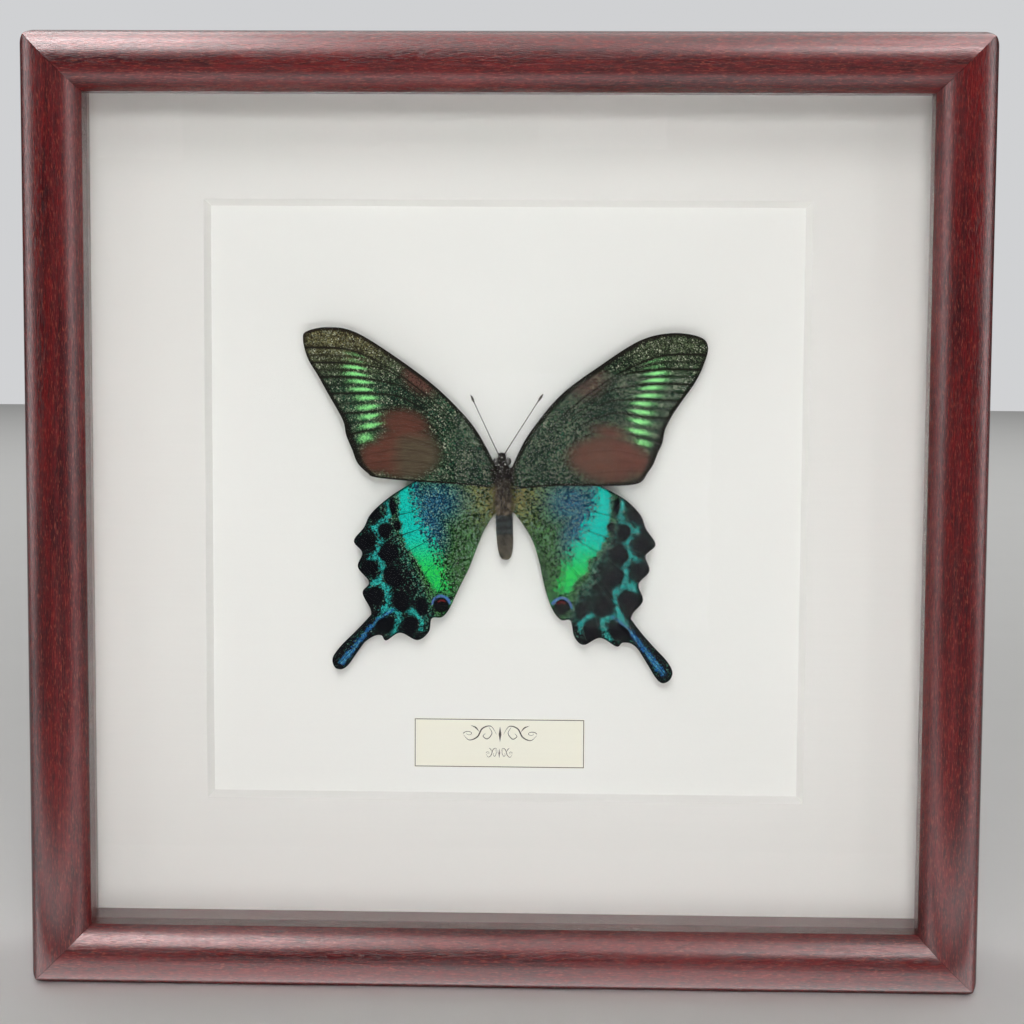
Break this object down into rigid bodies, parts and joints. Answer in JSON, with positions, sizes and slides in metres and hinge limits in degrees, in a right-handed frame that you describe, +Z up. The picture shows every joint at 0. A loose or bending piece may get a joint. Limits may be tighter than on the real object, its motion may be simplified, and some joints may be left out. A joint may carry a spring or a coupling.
{
  "type": "framed butterfly specimen",
  "caption": "Dried swallowtail butterfly with spread wings, pinned above a white card and label behind a bevelled mat, in a deep square stained-wood box frame with a glass front.",
  "frame": {"origin": "middle of the frame's footprint on the surface it stands on, halfway across its width and its depth", "axes": "+X to the viewer's right along the width, +Y from the glass to the back, +Z up"},
  "size_m": [0.252, 0.056, 0.252],
  "materials": {
    "stained_wood": "dark reddish-brown stained wood, satin varnish, fine grain along the rail",
    "spacer_wood": "stained wood strip, satin varnish",
    "glass": "clear picture glass",
    "mat_board": "white mat board, matt, bevel cut showing a white core",
    "backing_card": "white foam-centred card, matt",
    "label_card": "cream printed label with a thin dark border",
    "back_board": "brown hardboard, matt",
    "chitin": "dark insect chitin, slightly glossy",
    "body_fur": "fine dark brown and golden hair",
    "forewing_scales": "black-brown wing scales dusted with metallic green",
    "hindwing_scales": "black wing scales with an iridescent teal and blue band",
    "steel": "plain steel",
    "brass": "brass-plated steel"
  },
  "bodies": {
    "root": {"frame_rail_top": "stained_wood", "frame_rail_right": "stained_wood", "frame_rail_bottom": "stained_wood", "frame_rail_left": "stained_wood", "glass_pane": "glass", "spacer_top": "spacer_wood", "spacer_right": "spacer_wood", "spacer_bottom": "spacer_wood", "spacer_left": "spacer_wood", "mat_board": "mat_board", "backing_card": "backing_card", "specimen_label": "label_card", "back_board": "back_board", "head": "chitin", "thorax": "body_fur", "abdomen": "body_fur", "forewing_left": "forewing_scales", "forewing_right": "forewing_scales", "hindwing_left": "hindwing_scales", "hindwing_right": "hindwing_scales", "antenna_left": "chitin", "antenna_right": "chitin", "mounting_pin": "steel", "retaining_tab_top_a": "steel", "retaining_tab_top_b": "steel", "retaining_tab_right_a": "steel", "retaining_tab_right_b": "steel", "retaining_tab_bottom_a": "steel", "retaining_tab_bottom_b": "steel", "retaining_tab_left_a": "steel", "retaining_tab_left_b": "steel", "hanger_plate": "brass", "hanger_screw_left": "brass", "hanger_screw_right": "brass"}
  },
  "joints": []
}
